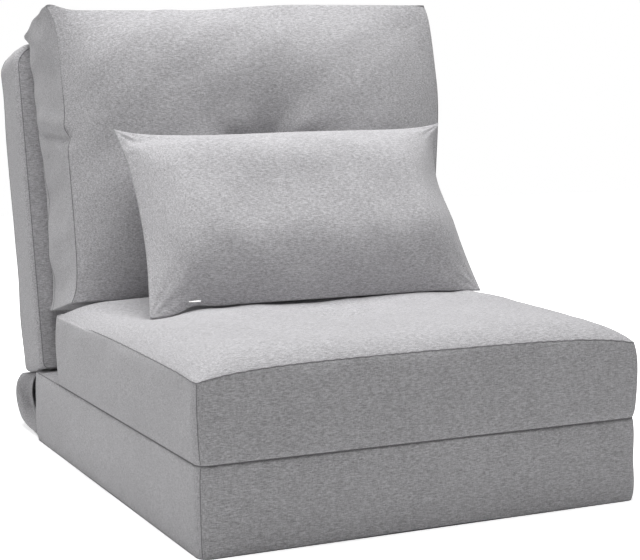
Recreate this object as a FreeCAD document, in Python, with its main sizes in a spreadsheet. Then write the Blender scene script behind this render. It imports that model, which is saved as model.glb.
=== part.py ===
import FreeCAD, Part
import math
import os
import Sketcher
from FreeCAD import Placement, Rotation, Vector

# Single convertible chair bed, in millimetres.
# The origin is the centre of the base's footprint on the floor.
# X runs across the chair, Y from its front to its back, Z up.

SIZES = [
    ("width", 660, "width of base, seat and backrest"),
    ("base_depth", 812, "base, front to back"),
    ("base_height", 118, "thickness of the base mattress"),
    ("seat_depth", 665, "seat, front to back"),
    ("seat_height", 118, "thickness of the seat mattress at its seams"),
    ("seat_crown", 27, "how far the seat's top swells above its seams"),
    ("crown_reach", 300, "distance from a seam over which a mattress swells"),
    ("back_length", 558, "backrest, bottom to top"),
    ("back_thickness", 118, "backrest, front to rear"),
    ("lean_angle", 12, "backrest's lean from upright, in degrees"),
    ("pivot_behind", 10, "recline pivot behind the base's rear face"),
    ("pivot_height", 57, "recline pivot above the floor"),
    ("pivot_to_back", 58.5, "pivot to the backrest's bottom face"),
    ("side_swell", 3, "how far the sides of a mattress swell"),
    ("edge_radius", 6, "rounding of the mattress edges"),
    ("back_edge_radius", 24, "rounding of the backrest's rear edges"),
    ("corner_radius", 14, "upright corners of base and seat"),
    ("back_corner_radius", 34, "top corners of the backrest"),
    ("cover_wall", 2, "cover cloth with its wadding"),
    ("soft_gap", 0.3, "clearance round a soft piece"),
    ("lining_wall", 1.2, "lining cloth under the base"),
    ("strip_depth", 42, "cloth hinge strip, front to back"),
    ("strip_wall", 1, "cloth hinge strip, thickness"),
    ("strip_margin", 24, "hinge strip short of each side"),
    ("tuft_radius", 62, "reach of a sewn tuft"),
    ("tuft_depth", 19, "depth of the seat's tuft"),
    ("cushion_tuft_depth", 34, "depth of the back cushion's tuft"),
    ("tie_radius", 1.5, "tufting twine"),
    ("washer_radius", 14, "felt washer of a tufting twine"),
    ("washer_wall", 2, "felt washer, thickness"),
    ("tube_radius", 11, "steel frame tube, outside"),
    ("tube_wall", 1.5, "steel frame tube, wall"),
    ("tube_bend", 70, "bend radius of the frame tubes"),
    ("leg_inset", 62, "frame tube's centre from the side of the chair"),
    ("frame_front", 70, "base frame's front run behind the base's front"),
    ("frame_rear", 18, "base frame's ends in front of the base's rear"),
    ("frame_top", 70, "back frame's top run below the backrest's top"),
    ("frame_foot", 14, "back frame's ends above the backrest's bottom"),
    ("cross_radius", 8, "cross tube, outside"),
    ("base_cross", 210, "base cross tube in front of the base's rear"),
    ("back_cross_low", 150, "lower back cross tube above the backrest's bottom"),
    ("back_cross_step", 170, "pitch of the back cross tubes"),
    ("plate_wall", 4, "hinge plates, thickness"),
    ("plate_width", 28, "hinge plates, width"),
    ("plate_reach", 92, "hinge plates, length beyond the mattress's face"),
    ("sector_radius", 24, "toothed sector round the pivot"),
    ("notch_count", 5, "locking notches of the sector"),
    ("notch_radius", 3, "locking notch"),
    ("plate_gap", 0.3, "running clearance between the hinge plates"),
    ("rivet_radius", 4, "pivot rivet, shank"),
    ("rivet_head_radius", 7, "pivot rivet, head"),
    ("rivet_head", 3, "pivot rivet, head thickness"),
    ("rivet_gap", 0.05, "running clearance round the pivot rivet"),
    ("screw_radius", 3, "frame screws, shank"),
    ("screw_head_radius", 5, "frame screws, head"),
    ("screw_head", 2, "frame screws, head thickness"),
    ("screw_first", 32, "first frame screw from the mattress's face"),
    ("screw_step", 38, "pitch of the frame screws"),
    ("strap_width", 40, "elastic back strap"),
    ("strap_wall", 2, "elastic back strap, thickness"),
    ("strap_count", 4, "elastic back straps"),
    ("strap_first", 70, "first strap above the backrest's bottom"),
    ("strap_step", 100, "pitch of the straps"),
    ("cushion_width", 684, "back cushion across its ears"),
    ("cushion_height", 492, "back cushion across its ears, bottom to top"),
    ("cushion_boxing", 168, "back cushion, width of its boxing"),
    ("cushion_crown", 42, "swell of the back cushion's front"),
    ("cushion_draw", 15, "how far the cushion's sides are drawn in"),
    ("cushion_rise", 94.4, "back cushion above the backrest's bottom edge"),
    ("cushion_offset", 31, "back cushion's place to the side of the middle"),
    ("cushion_turn", 2.5, "back cushion fuller on its right side, in degrees"),
    ("pillow_width", 576, "lumbar pillow across its ears"),
    ("pillow_height", 334, "lumbar pillow across its ears, bottom to top"),
    ("pillow_thickness", 112, "lumbar pillow in its middle"),
    ("pillow_draw", 11, "how far the pillow's sides are drawn in"),
    ("pillow_lean", 35, "pillow's lean from upright, in degrees"),
    ("pillow_front", 425.6, "pillow's bottom seam behind the base's front"),
    ("pillow_offset", 41, "pillow's place to the side of the middle"),
    ("zip_length", 470, "pillow's zip"),
    ("zip_rise", 9, "zip above the pillow's bottom ears"),
    ("zip_tape_wall", 1.2, "zip tape, thickness"),
    ("zip_tape_width", 9, "zip tape, depth in the seam"),
    ("zip_chain_wide", 3.2, "zip chain, across"),
    ("zip_chain_tall", 2.6, "zip chain, height"),
    ("slider_length", 10, "zip slider, along the zip"),
    ("slider_wide", 8, "zip slider, across"),
    ("slider_wall", 1.4, "zip slider, wall"),
    ("lug_wall", 1, "slider's lugs that hold the pin, thickness"),
    ("pull_length", 18, "zip pull"),
    ("pull_wide", 3.8, "zip pull, across"),
    ("pull_wall", 1, "zip pull, thickness"),
    ("pull_eye_radius", 1.5, "eye of the zip pull, outside"),
    ("pull_pin_radius", 0.8, "pin of the zip pull"),
    ("gusset_margin", 3, "rear gusset short of each side"),
    ("gusset_wall", 2, "rear gusset cloth"),
    ("gusset_bulge", 134, "rear gusset's bulge behind the base"),
]

doc = FreeCAD.newDocument("convertible_chair_bed")
sheet = doc.addObject("Spreadsheet::Sheet", "Sizes")
for row, (alias, value, meaning) in enumerate(SIZES, 1):
    sheet.set("A%d" % row, meaning)
    sheet.set("B%d" % row, str(value))
    sheet.setAlias("B%d" % row, alias)
doc.recompute()


def size(alias):
    return float(sheet.get(alias))


# Values worked out from the sizes

half_width = size("width") / 2
base_front = -size("base_depth") / 2
base_rear = size("base_depth") / 2
slab_gap = size("strip_wall") + size("soft_gap")
seat_low = size("base_height") + slab_gap
seat_seam = seat_low + size("seat_height")
seat_sag = 0.85
seat_middle = seat_seam + size("seat_crown") * seat_sag
lean = math.radians(size("lean_angle"))
pivot_y = base_rear + size("pivot_behind")
pivot_z = size("pivot_height")
# The recline pivot in the backrest's own frame, where the bottom front edge is the origin
# and the rear face meets the floor when the backrest lies flat.
pivot_deep = size("back_thickness") - size("pivot_height")
back_foot = Vector(
    0,
    pivot_y + size("pivot_to_back") * math.sin(lean) - pivot_deep * math.cos(lean),
    pivot_z + size("pivot_to_back") * math.cos(lean) + pivot_deep * math.sin(lean),
)
back_place = Placement(back_foot, Rotation(Vector(1, 0, 0), -size("lean_angle")))
leg_x = half_width - size("leg_inset")
plate_x = leg_x + size("tube_radius")
arm_x = plate_x + size("plate_wall") + size("plate_gap")
back_leg_x = arm_x - size("tube_radius")
pocket_in = leg_x - size("tube_radius") - 2 * size("soft_gap")
pocket_out = arm_x + size("plate_wall") + size("rivet_head") + 2 * size("soft_gap")
pocket_half = size("sector_radius") + size("plate_width") / 2


# Outlines and lofts of the soft pieces

ARC_MIDDLE = 1 - math.sqrt(0.5)
ROUNDEST = 0.72


def bent_edge(start, middle, end):
    """An arc through three points, or a line where they lie on one."""
    if abs((middle - start).cross(end - start).Length) < 1e-4:
        return Part.LineSegment(start, end).toShape()
    return Part.Arc(start, middle, end).toShape()


def ear_edges(corner, flat_end):
    """The arc from a bottom ear up to the straight middle of the side, which it meets smoothly."""
    run = abs(corner.x - flat_end.x)
    rise = flat_end.y - corner.y
    radius = (run * run + rise * rise) / (2 * rise)
    turn = math.asin(run / radius)
    side = 1 if corner.x > flat_end.x else -1
    middle = Vector(
        flat_end.x + side * radius * math.sin(turn / 2),
        flat_end.y - radius * (1 - math.cos(turn / 2)),
        corner.z,
    )
    return middle


def outline(level, half_x, half_y, radius, swell_x, swell_top, swell_low, flat=0.0, rise=0.0):
    """A closed wire at one level: four sides that swell or draw in, and four rounded corners.

    With flat and rise the bottom side has a straight middle that lies above its ears.
    """
    radius = min(radius, ROUNDEST * min(half_x, half_y))
    cut = radius * ARC_MIDDLE
    in_x = half_x - radius
    in_y = half_y - radius

    def at(x, y):
        return Vector(x, y, level)

    edges = [
        bent_edge(at(half_x, -in_y), at(half_x + swell_x, 0), at(half_x, in_y)),
        bent_edge(at(half_x, in_y), at(half_x - cut, half_y - cut), at(in_x, half_y)),
        bent_edge(at(in_x, half_y), at(0, half_y + swell_top), at(-in_x, half_y)),
        bent_edge(at(-in_x, half_y), at(cut - half_x, half_y - cut), at(-half_x, in_y)),
        bent_edge(at(-half_x, in_y), at(-half_x - swell_x, 0), at(-half_x, -in_y)),
        bent_edge(at(-half_x, -in_y), at(cut - half_x, cut - half_y), at(-in_x, -half_y)),
    ]
    if flat:
        flat = min(flat, 0.8 * in_x)
        left, right = at(-flat, rise - half_y), at(flat, rise - half_y)
        low_left, low_right = at(-in_x, -half_y), at(in_x, -half_y)
        edges.append(Part.Arc(low_left, ear_edges(low_left, left), left).toShape())
        edges.append(Part.LineSegment(left, right).toShape())
        edges.append(Part.Arc(right, ear_edges(low_right, right), low_right).toShape())
    else:
        edges.append(bent_edge(at(-in_x, -half_y), at(0, -half_y - swell_low), at(in_x, -half_y)))
    edges.append(bent_edge(at(in_x, -half_y), at(half_x - cut, cut - half_y), at(half_x, -in_y)))
    return Part.Wire(edges)


def loft(wires):
    return Part.makeLoft(wires, True, True)


def edge_levels(low, high, radius):
    """Heights and insets of a mattress with rounded bottom and top edges."""
    steps = [0, math.radians(30), math.radians(60), math.radians(90)]
    below = [(low + radius * (1 - math.cos(a)), radius * (1 - math.sin(a))) for a in steps]
    above = [(high - radius * (1 - math.cos(a)), radius * (1 - math.sin(a))) for a in reversed(steps)]
    return below, above


CROWN_STEPS = (0.07, 0.16, 0.28, 0.44, 0.66, 1.0)
CROWN_POWER = 2.5


SEAT_CROWN = (
    (0.03, 0.2),
    (0.07, 0.44),
    (0.16, 0.76),
    (0.28, 0.93),
    (0.44, 1.0),
    (0.7, 0.95),
    (1.0, seat_sag),
)


def crown_levels(seam, crown, reach):
    """Heights and insets of a top that swells from its seam and flattens in the middle."""
    return [(seam + crown * (1 - (1 - k) ** CROWN_POWER), reach * k) for k in CROWN_STEPS]


def seat_crown_levels(seam, crown, reach):
    """The seat's full edge: it swells quickly from its seam and sags a little in the middle."""
    return [(seam + crown * height, reach * k) for k, height in SEAT_CROWN]


def slab(low, high, half_x, half_y, shrink, crown=0.0, bottom_open=False):
    """A boxed mattress, flat below, with swelling sides and, with crown, a swelling top."""
    radius = size("edge_radius")
    below, above = edge_levels(low + shrink, high - shrink, radius)
    if bottom_open:
        below = [(low - 1, below[-1][1])]
    middle = [((low + high) / 2, -size("side_swell"))]
    levels = below + middle
    if crown:
        levels.append((high - shrink - radius / 2, 0.0))
        levels.append((high - shrink, radius / 4))
        levels += seat_crown_levels(high - shrink, crown, size("crown_reach"))
    else:
        levels += above
    wires = []
    for height, inset in levels:
        corner = size("corner_radius") + max(inset, 0) * 0.75
        wires.append(
            outline(
                height,
                half_x - shrink - inset,
                half_y - shrink - inset,
                corner,
                size("side_swell"),
                size("side_swell"),
                size("side_swell"),
            )
        )
    return loft(wires)


TUFT_RINGS = ((1.2, -0.16), (1.0, 0.02), (0.72, 0.13), (0.46, 0.36), (0.26, 0.66), (0.1, 0.94), (0.04, 1.0))


def tuft(centre, top, depth, grow):
    """The hollow that a sewn tuft draws into a top: rings of four arcs, narrowing downwards."""
    wires = []
    for share, drop in TUFT_RINGS:
        r = size("tuft_radius") * share + grow
        z = top - depth * drop - grow
        points = [Vector(centre.x + r * math.cos(a), centre.y + r * math.sin(a), z)
                  for a in [math.radians(45 * k) for k in range(9)]]
        arcs = [Part.Arc(points[k], points[k + 1], points[k + 2]).toShape() for k in range(0, 8, 2)]
        wires.append(Part.Wire(arcs))
    return loft(list(reversed(wires)))


def box(x0, x1, y0, y1, z0, z1):
    return Part.makeBox(x1 - x0, y1 - y0, z1 - z0, Vector(x0, y0, z0))


def tube_solid(points, radius):
    """A round bar along straight runs joined by tangent arcs of the frame's bend radius."""
    edges = []
    start = points[0]
    for before, corner, after in zip(points, points[1:], points[2:]):
        back = (before - corner).normalize()
        ahead = (after - corner).normalize()
        half_turn = (math.pi - back.getAngle(ahead)) / 2
        trim = size("tube_bend") * math.tan(half_turn)
        enter = corner + back * trim
        leave = corner + ahead * trim
        inward = (back + ahead).normalize()
        middle = corner + inward * size("tube_bend") * (1 / math.cos(half_turn) - 1)
        edges.append(Part.LineSegment(start, enter).toShape())
        edges.append(Part.Arc(enter, middle, leave).toShape())
        start = leave
    edges.append(Part.LineSegment(start, points[-1]).toShape())
    path = Part.Wire(edges)
    direction = (points[1] - points[0]).normalize()
    circle = Part.Wire([Part.Circle(points[0], direction, radius).toShape()])
    return path.makePipeShell([circle], True, False)


def add_shape(label, shape, placement=None):
    """A sub-part whose shape is set directly, for soft forms and bent tubes."""
    feature = doc.addObject("Part::Feature", label)
    feature.Label = label
    feature.Shape = shape
    if placement is not None:
        feature.Placement = placement
    return feature


def bind(obj, **expressions):
    for name, expression in expressions.items():
        obj.setExpression(name.replace("__", "."), expression)
    return obj


# Sketches of the plates, strips and zip parts


def sketch_on(body, name, role):
    sketch = body.newObject("Sketcher::SketchObject", name)
    plane = [f for f in body.Origin.OriginFeatures if f.Role == role][0]
    sketch.AttachmentSupport = [(plane, "")]
    sketch.MapMode = "FlatFace"
    return sketch


def draw_rectangle(sketch, left, right, low, high):
    """Four lines held by distances from the origin, each distance an expression."""
    start = Vector(0, 0, 0)
    first = sketch.GeometryCount
    corners = [start, start + Vector(10, 0, 0), start + Vector(10, 10, 0), start + Vector(0, 10, 0)]
    for k in range(4):
        sketch.addGeometry(Part.LineSegment(corners[k], corners[(k + 1) % 4]), False)
    for k in range(4):
        sketch.addConstraint(Sketcher.Constraint("Coincident", first + k, 2, first + (k + 1) % 4, 1))
    for k in (0, 2):
        sketch.addConstraint(Sketcher.Constraint("Horizontal", first + k))
    for k in (1, 3):
        sketch.addConstraint(Sketcher.Constraint("Vertical", first + k))
    for kind, point, expression in (
        ("DistanceX", (first, 1), left),
        ("DistanceX", (first + 1, 1), right),
        ("DistanceY", (first, 1), low),
        ("DistanceY", (first + 2, 1), high),
    ):
        index = sketch.addConstraint(Sketcher.Constraint(kind, -1, 1, point[0], point[1], 1.0))
        sketch.setExpression("Constraints[%d]" % index, expression)


def draw_circle(sketch, x, y, radius):
    geometry = sketch.addGeometry(Part.Circle(Vector(1, 1, 0), Vector(0, 0, 1), 1), False)
    for kind, expression in (("DistanceX", x), ("DistanceY", y)):
        index = sketch.addConstraint(Sketcher.Constraint(kind, -1, 1, geometry, 3, 1.0))
        sketch.setExpression("Constraints[%d]" % index, expression)
    index = sketch.addConstraint(Sketcher.Constraint("Radius", geometry, 1.0))
    sketch.setExpression("Constraints[%d]" % index, radius)


def pad(body, sketch, length):
    feature = body.newObject("PartDesign::Pad", sketch.Name + "_pad")
    feature.Profile = sketch
    feature.setExpression("Length", length)
    return feature


def pocket(body, sketch):
    feature = body.newObject("PartDesign::Pocket", sketch.Name + "_pocket")
    feature.Profile = sketch
    feature.Type = "ThroughAll"
    feature.Midplane = True
    return feature


def new_body(label):
    body = doc.addObject("PartDesign::Body", label)
    body.Label = label
    return body


PARTS = []


def keep(obj):
    PARTS.append(obj)
    return obj


# Base: cover, foam, lining, frame and hinge plates


def hinge_pocket(front, rear, side):
    """Room for one hinge's plates, rivets and tube end, in the base."""
    xs = sorted((side * pocket_in, side * pocket_out))
    return box(xs[0], xs[1], front, rear, pivot_z - pocket_half, pivot_z + pocket_half)


def base_frame_points():
    y_front = base_front + size("frame_front")
    y_rear = base_rear - size("frame_rear")
    return [
        Vector(-leg_x, y_rear, pivot_z),
        Vector(-leg_x, y_front, pivot_z),
        Vector(leg_x, y_front, pivot_z),
        Vector(leg_x, y_rear, pivot_z),
    ]


def screw_positions(face, inward):
    """Distances of the frame screws from the mattress's face, along the hinge plate."""
    return [face + inward * (size("screw_first") + k * size("screw_step")) for k in range(2)]


def base_screw(side, y, radius, outer):
    start = Vector(side * (leg_x + size("tube_radius") - size("tube_wall") - 2), y, pivot_z)
    length = plate_x + size("plate_wall") + outer - abs(start.x)
    return Part.makeCylinder(radius, length, start, Vector(side, 0, 0))


def make_base():
    half_y = size("base_depth") / 2
    wall = size("cover_wall")
    gap = size("soft_gap")
    high = size("base_height")
    outer = slab(0, high, half_width, half_y, 0)
    cavity = slab(0, high, half_width, half_y, wall, bottom_open=True)
    cover = outer.cut(cavity)
    plate_slots = [hinge_pocket(base_rear - 2 * size("sector_radius"), base_rear + 2 * size("side_swell"), side)
                   for side in (-1, 1)]
    for slot in plate_slots:
        cover = cover.cut(slot)
    keep(add_shape("base_cover", cover))

    foam = slab(size("lining_wall") - wall, high, half_width, half_y, wall + gap)
    for side in (-1, 1):
        front = base_rear - size("plate_reach") - 4
        foam = foam.cut(hinge_pocket(front, base_rear + 2 * size("side_swell"), side))
    foam = foam.cut(tube_solid(base_frame_points(), size("tube_radius") + gap))
    cross_y = base_rear - size("base_cross")
    foam = foam.cut(
        Part.makeCylinder(
            size("cross_radius") + gap,
            2 * leg_x,
            Vector(-leg_x, cross_y, pivot_z),
            Vector(1, 0, 0),
        )
    )
    keep(add_shape("base_foam", foam))

    tube = tube_solid(base_frame_points(), size("tube_radius"))
    bore_points = base_frame_points()
    tube = tube.cut(tube_solid(bore_points, size("tube_radius") - size("tube_wall")))
    for side in (-1, 1):
        for y in screw_positions(base_rear, -1):
            tube = tube.cut(base_screw(side, y, size("screw_radius") + 0.1, 1))
    keep(add_shape("base_frame_tube", tube))

    screws = []
    for side in (-1, 1):
        for y in screw_positions(base_rear, -1):
            shank = base_screw(side, y, size("screw_radius"), 0)
            top = Vector(side * (plate_x + size("plate_wall")), y, pivot_z)
            head = Part.makeCylinder(size("screw_head_radius"), size("screw_head"), top, Vector(side, 0, 0))
            screws.append(shank.fuse(head).removeSplitter())
    keep(add_shape("base_plate_screws", Part.makeCompound(screws)))

    swell = size("side_swell")
    rim = outline(0, half_width - wall - gap, half_y - wall - gap, size("corner_radius"), swell, swell, swell)
    keep(add_shape("base_lining", Part.Face(rim).extrude(Vector(0, 0, size("lining_wall")))))

    strip = new_body("front_hinge_strip")
    sketch = sketch_on(strip, "strip_outline", "XY_Plane")
    side = "Sizes.width / 2 - Sizes.strip_margin"
    front = "-Sizes.base_depth / 2 + Sizes.edge_radius"
    draw_rectangle(sketch, "-(%s)" % side, side, front, front + " + Sizes.strip_depth")
    pad(strip, sketch, "Sizes.strip_wall")
    strip.Placement = Placement(Vector(0, 0, size("base_height")), Rotation())
    keep(strip)

    cross = doc.addObject("Part::Cylinder", "base_cross_tube")
    bind(cross, Radius="Sizes.cross_radius")
    cross.setExpression("Height", "Sizes.width - 2 * Sizes.leg_inset - 2 * Sizes.tube_radius")
    cross.Placement = Placement(
        Vector(size("tube_radius") - leg_x, cross_y, pivot_z), Rotation(Vector(0, 1, 0), 90)
    )
    cross.Label = "base_cross_tube"
    keep(cross)


def plate_turn():
    """Turns a plate drawn in its own X and Y to stand across the chair, X along Y and Y along Z."""
    return Rotation(Vector(0, 1, 0), Vector(0, 0, 1), Vector(1, 0, 0), "XYZ")


def make_hinge_plate(side, label):
    """Fixed hinge plate: a tail screwed to the base frame, and a notched sector round the pivot."""
    body = new_body(label)
    sketch = sketch_on(body, label + "_tail", "XY_Plane")
    reach = "-(Sizes.plate_reach + Sizes.pivot_behind)"
    draw_rectangle(sketch, reach, "0", "-Sizes.plate_width / 2", "Sizes.plate_width / 2")
    pad(body, sketch, "Sizes.plate_wall")
    sketch = sketch_on(body, label + "_sector", "XY_Plane")
    draw_circle(sketch, "0", "0", "Sizes.sector_radius")
    pad(body, sketch, "Sizes.plate_wall")
    holes = sketch_on(body, label + "_holes", "XY_Plane")
    draw_circle(holes, "0", "0", "Sizes.rivet_radius + Sizes.rivet_gap")
    for k in range(2):
        away = "-(Sizes.pivot_behind + Sizes.screw_first + %d * Sizes.screw_step)" % k
        draw_circle(holes, away, "0", "Sizes.screw_radius + 0.1")
    pocket(body, holes)
    notches = sketch_on(body, label + "_notches", "XY_Plane")
    count = int(size("notch_count"))
    for k in range(count):
        angle = "(%d * 90 / (Sizes.notch_count - 1) + 0)" % k
        draw_circle(
            notches,
            "Sizes.sector_radius * cos(%s)" % angle,
            "Sizes.sector_radius * sin(%s)" % angle,
            "Sizes.notch_radius",
        )
    pocket(body, notches)
    start = plate_x if side > 0 else -plate_x - size("plate_wall")
    body.Placement = Placement(Vector(start, pivot_y, pivot_z), plate_turn())
    keep(body)


def make_pivot_rivets():
    """One rivet per hinge: a shank through both plates and a head on each side."""
    rivets = []
    for side in (-1, 1):
        axis = Vector(side, 0, 0)
        inner = plate_x
        outer = arm_x + size("plate_wall") + size("plate_gap")
        spot = Vector(side * (inner - size("rivet_head")), pivot_y, pivot_z)
        shank = Part.makeCylinder(size("rivet_radius"), outer - inner + 2 * size("rivet_head"), spot, axis)
        head_in = Part.makeCylinder(size("rivet_head_radius"), size("rivet_head"), spot, axis)
        far = Vector(side * outer, pivot_y, pivot_z)
        head_out = Part.makeCylinder(size("rivet_head_radius"), size("rivet_head"), far, axis)
        rivets.append(shank.fuse([head_in, head_out]).removeSplitter())
    keep(add_shape("pivot_rivets", Part.makeCompound(rivets)))


def make_rear_gusset():
    """Loose cloth from the backrest's bottom rear edge down to the base's rear, in two soft folds."""
    wall = size("gusset_wall")
    reach = base_rear + size("gusset_bulge")
    high = back_foot.z - size("back_thickness") * math.sin(lean)
    floor = wall + 1

    def at(y, z):
        return Vector(size("gusset_margin") - half_width, y, z)

    top = at(back_foot.y + size("back_thickness") * math.cos(lean) - 14, high + 1)
    bulge = at(base_rear + 0.9 * size("gusset_bulge"), high - 32)
    waist = at(reach, high * 0.38)
    low_bulge = at(reach + 5, high * 0.17)
    turn = at(reach - 22, floor)
    foot = at(base_rear + size("side_swell") + size("soft_gap"), floor)
    path = Part.Wire([
        Part.Arc(top, bulge, waist).toShape(),
        Part.Arc(waist, low_bulge, turn).toShape(),
        Part.LineSegment(turn, foot).toShape(),
    ])
    face = path.makeOffset2D(wall, 0, True, True)
    cloth = face.extrude(Vector(size("width") - 2 * size("gusset_margin"), 0, 0))
    keep(add_shape("rear_gusset", cloth))


# Seat: crowned cover, foam and the twine of its tuft


def seat_form(shrink):
    half_y = size("seat_depth") / 2
    centre = base_front + half_y
    form = slab(seat_low, seat_seam, half_width, half_y, shrink, crown=size("seat_crown"))
    form.translate(Vector(0, centre, 0))
    top = seat_middle
    return form.cut(tuft(Vector(0, centre, 0), top, size("tuft_depth"), shrink))


def make_seat():
    wall = size("cover_wall")
    gap = size("soft_gap")
    cover = seat_form(0).cut(seat_form(wall))
    keep(add_shape("seat_cover", cover))
    centre = base_front + size("seat_depth") / 2
    low = seat_low + wall + 2 * gap
    high = seat_middle - size("tuft_depth") - wall - gap
    foam = seat_form(wall + gap)
    foam = foam.cut(Part.makeCylinder(size("tie_radius") + gap, 2 * high, Vector(0, centre, 0)))
    foam = foam.cut(
        Part.makeCylinder(size("washer_radius") + gap, size("washer_wall") + gap, Vector(0, centre, low - gap))
    )
    keep(add_shape("seat_foam", foam))
    twine = Part.makeCylinder(size("tie_radius"), high - low, Vector(0, centre, low))
    washer = Part.makeCylinder(size("washer_radius"), size("washer_wall"), Vector(0, centre, low))
    keep(add_shape("seat_tuft_tie", twine.fuse(washer).removeSplitter()))


# Backrest, drawn upright in its own frame: Y from its front face to its rear, Z up from its bottom


def back_form(shrink):
    """The backrest block: stacked from its front face to its rear, with large rounded rear edges."""
    radius = size("edge_radius")
    rear_radius = size("back_edge_radius")
    deep = size("back_thickness")
    half_z = size("back_length") / 2
    steps = [math.radians(a) for a in (0, 30, 60, 90)]
    levels = [(shrink + radius * (1 - math.cos(a)), radius * (1 - math.sin(a))) for a in steps]
    levels.append((deep / 2, -size("side_swell") / 2))
    levels += [
        (deep - shrink - rear_radius * (1 - math.cos(a)), rear_radius * (1 - math.sin(a)))
        for a in reversed(steps)
    ]
    wires = []
    for depth, inset in levels:
        # The bottom face stays flat and square to the lean, so only the sides and the top draw in.
        half_x = half_width - shrink - inset
        tall = half_z - shrink - inset
        corner = size("back_corner_radius") - shrink / 2
        wires.append(outline(depth, half_x, tall, corner, size("side_swell"), size("side_swell") / 2, 0.0))
    form = loft(wires)
    form.rotate(Vector(0, 0, 0), Vector(1, 0, 0), 90)
    form.rotate(Vector(0, 0, 0), Vector(0, 0, 1), 180)
    form.translate(Vector(0, 0, half_z))
    return form


def back_frame_points():
    low = size("frame_foot")
    high = size("back_length") - size("frame_top")
    return [
        Vector(-back_leg_x, pivot_deep, low),
        Vector(-back_leg_x, pivot_deep, high),
        Vector(back_leg_x, pivot_deep, high),
        Vector(back_leg_x, pivot_deep, low),
    ]


def back_pocket(side, low, high):
    xs = sorted((side * pocket_in, side * pocket_out))
    half = size("plate_width") / 2 + 2
    return box(xs[0], xs[1], pivot_deep - half, pivot_deep + half, low, high)


def back_screw(side, z, radius, outer):
    start = Vector(side * (arm_x - size("tube_wall") - 2), pivot_deep, z)
    length = arm_x + size("plate_wall") + outer - abs(start.x)
    return Part.makeCylinder(radius, length, start, Vector(side, 0, 0))


def cross_heights():
    return [size("back_cross_low") + k * size("back_cross_step") for k in range(2)]


def strap_boxes(grow):
    """Elastic straps across the front of the back frame, hooked on its legs."""
    front = pivot_deep - size("tube_radius") - size("strap_wall") - size("soft_gap")
    half = back_leg_x + size("tube_radius")
    boxes = []
    for k in range(int(size("strap_count"))):
        z = size("strap_first") + k * size("strap_step")
        boxes.append(
            box(-half - grow, half + grow, front - grow, front + size("strap_wall") + grow,
                z - grow, z + size("strap_width") + grow)
        )
    return boxes


def make_back():
    wall = size("cover_wall")
    gap = size("soft_gap")
    cover = back_form(0).cut(back_form(wall))
    for side in (-1, 1):
        cover = cover.cut(back_pocket(side, -2 * size("side_swell"), wall + 1))
    keep(add_shape("back_cover", cover, back_place))

    foam = back_form(wall + gap)
    for side in (-1, 1):
        foam = foam.cut(back_pocket(side, -1, size("plate_reach") + 4))
    foam = foam.cut(tube_solid(back_frame_points(), size("tube_radius") + gap))
    for z in cross_heights():
        foam = foam.cut(
            Part.makeCylinder(size("cross_radius") + gap, 2 * back_leg_x, Vector(-back_leg_x, pivot_deep, z),
                              Vector(1, 0, 0))
        )
    for strap in strap_boxes(gap):
        foam = foam.cut(strap)
    keep(add_shape("back_foam", foam, back_place))

    tube = tube_solid(back_frame_points(), size("tube_radius"))
    tube = tube.cut(tube_solid(back_frame_points(), size("tube_radius") - size("tube_wall")))
    for side in (-1, 1):
        for z in screw_positions(0, 1):
            tube = tube.cut(back_screw(side, z, size("screw_radius") + 0.1, 1))
    keep(add_shape("back_frame_tube", tube, back_place))

    length = 2 * (back_leg_x - size("tube_radius"))
    crosses = [
        Part.makeCylinder(size("cross_radius"), length, Vector(-length / 2, pivot_deep, z), Vector(1, 0, 0))
        for z in cross_heights()
    ]
    keep(add_shape("back_cross_tubes", Part.makeCompound(crosses), back_place))
    keep(add_shape("back_straps", Part.makeCompound(strap_boxes(0)), back_place))

    screws = []
    for side in (-1, 1):
        for z in screw_positions(0, 1):
            shank = back_screw(side, z, size("screw_radius"), 0)
            top = Vector(side * (arm_x + size("plate_wall")), pivot_deep, z)
            head = Part.makeCylinder(size("screw_head_radius"), size("screw_head"), top, Vector(side, 0, 0))
            screws.append(shank.fuse(head).removeSplitter())
    keep(add_shape("back_arm_screws", Part.makeCompound(screws), back_place))


def make_hinge_arm(side, label):
    """Moving hinge plate: rounded round the pivot, with a tail screwed to the back frame."""
    body = new_body(label)
    sketch = sketch_on(body, label + "_tail", "XY_Plane")
    reach = "Sizes.plate_reach + Sizes.pivot_to_back"
    draw_rectangle(sketch, "-Sizes.plate_width / 2", "Sizes.plate_width / 2", "0", reach)
    pad(body, sketch, "Sizes.plate_wall")
    sketch = sketch_on(body, label + "_eye", "XY_Plane")
    draw_circle(sketch, "0", "0", "Sizes.plate_width / 2")
    pad(body, sketch, "Sizes.plate_wall")
    holes = sketch_on(body, label + "_holes", "XY_Plane")
    draw_circle(holes, "0", "0", "Sizes.rivet_radius + Sizes.rivet_gap")
    for k in range(2):
        away = "Sizes.pivot_to_back + Sizes.screw_first + %d * Sizes.screw_step" % k
        draw_circle(holes, "0", away, "Sizes.screw_radius + 0.1")
    pocket(body, holes)
    start = arm_x if side > 0 else -arm_x - size("plate_wall")
    foot = Placement(Vector(start, pivot_deep, -size("pivot_to_back")), plate_turn())
    body.Placement = back_place.multiply(foot)
    keep(body)


# Back cushion, drawn in its own frame: X across, Y up, Z from its rear face to its front


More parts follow.
